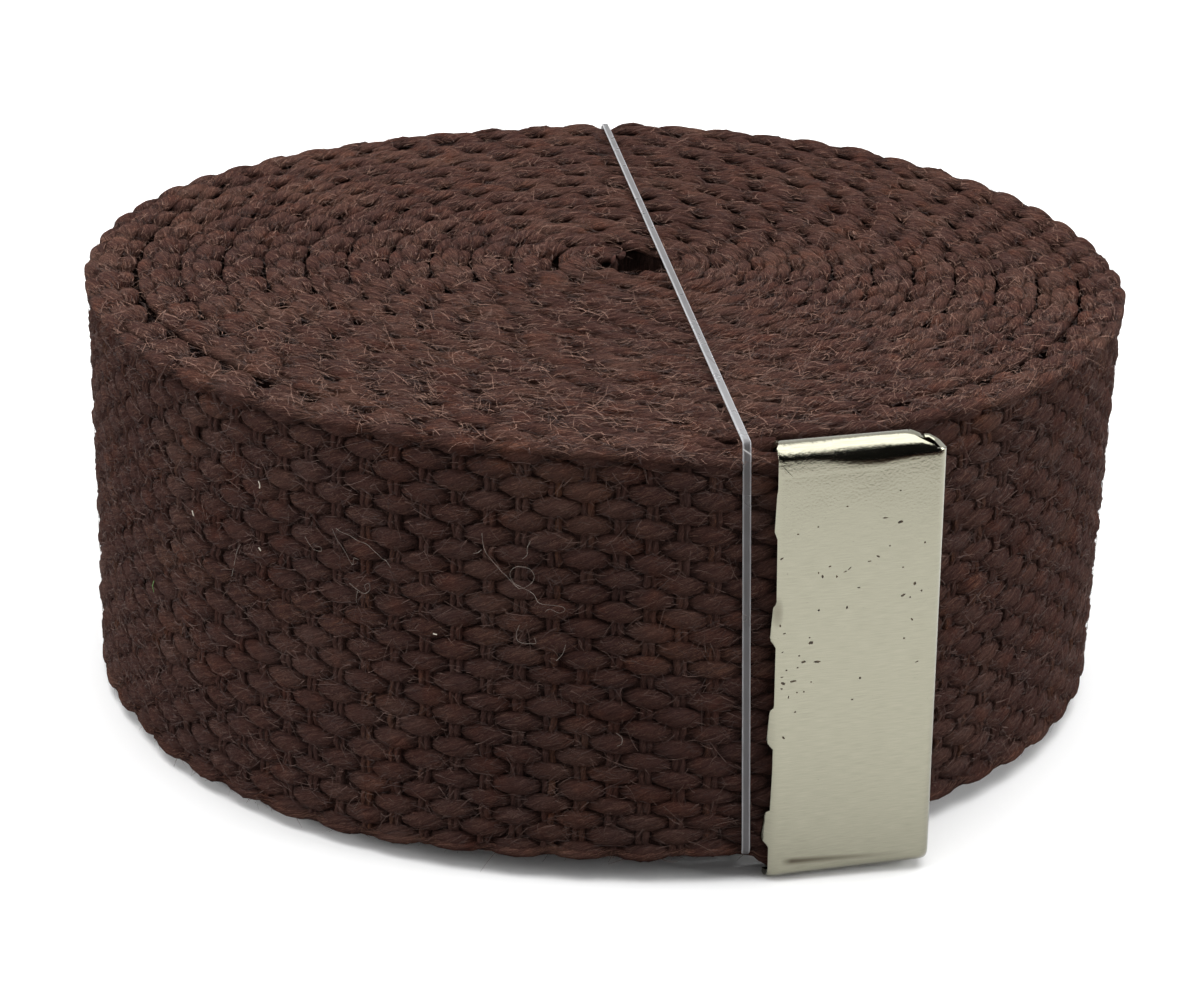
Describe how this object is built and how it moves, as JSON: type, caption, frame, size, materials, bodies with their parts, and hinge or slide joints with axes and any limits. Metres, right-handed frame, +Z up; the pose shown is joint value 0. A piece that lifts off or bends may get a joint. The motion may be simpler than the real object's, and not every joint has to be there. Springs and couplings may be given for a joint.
{
  "type": "web belt with retaining band",
  "caption": "Rolled heavy cotton web belt on its edge, with a folded metal tip on the outer end and a thin clear band round the roll.",
  "frame": {"origin": "middle of the footprint, on the floor the roll stands on", "axes": "+Z up along the axis of the roll and across the strap's width, -Y towards the front with the tip, +X to the right seen from the front"},
  "size_m": [0.082, 0.084, 0.0336],
  "materials": {
    "webbing": "coarse matte cotton weave, dark brown",
    "tip_metal": "bright nickel plate with small pits",
    "clear_band": "clear thin elastic plastic"
  },
  "bodies": {
    "root": {"webbing_strap": "webbing", "belt_tip": "tip_metal", "retaining_band": "clear_band"}
  },
  "joints": []
}
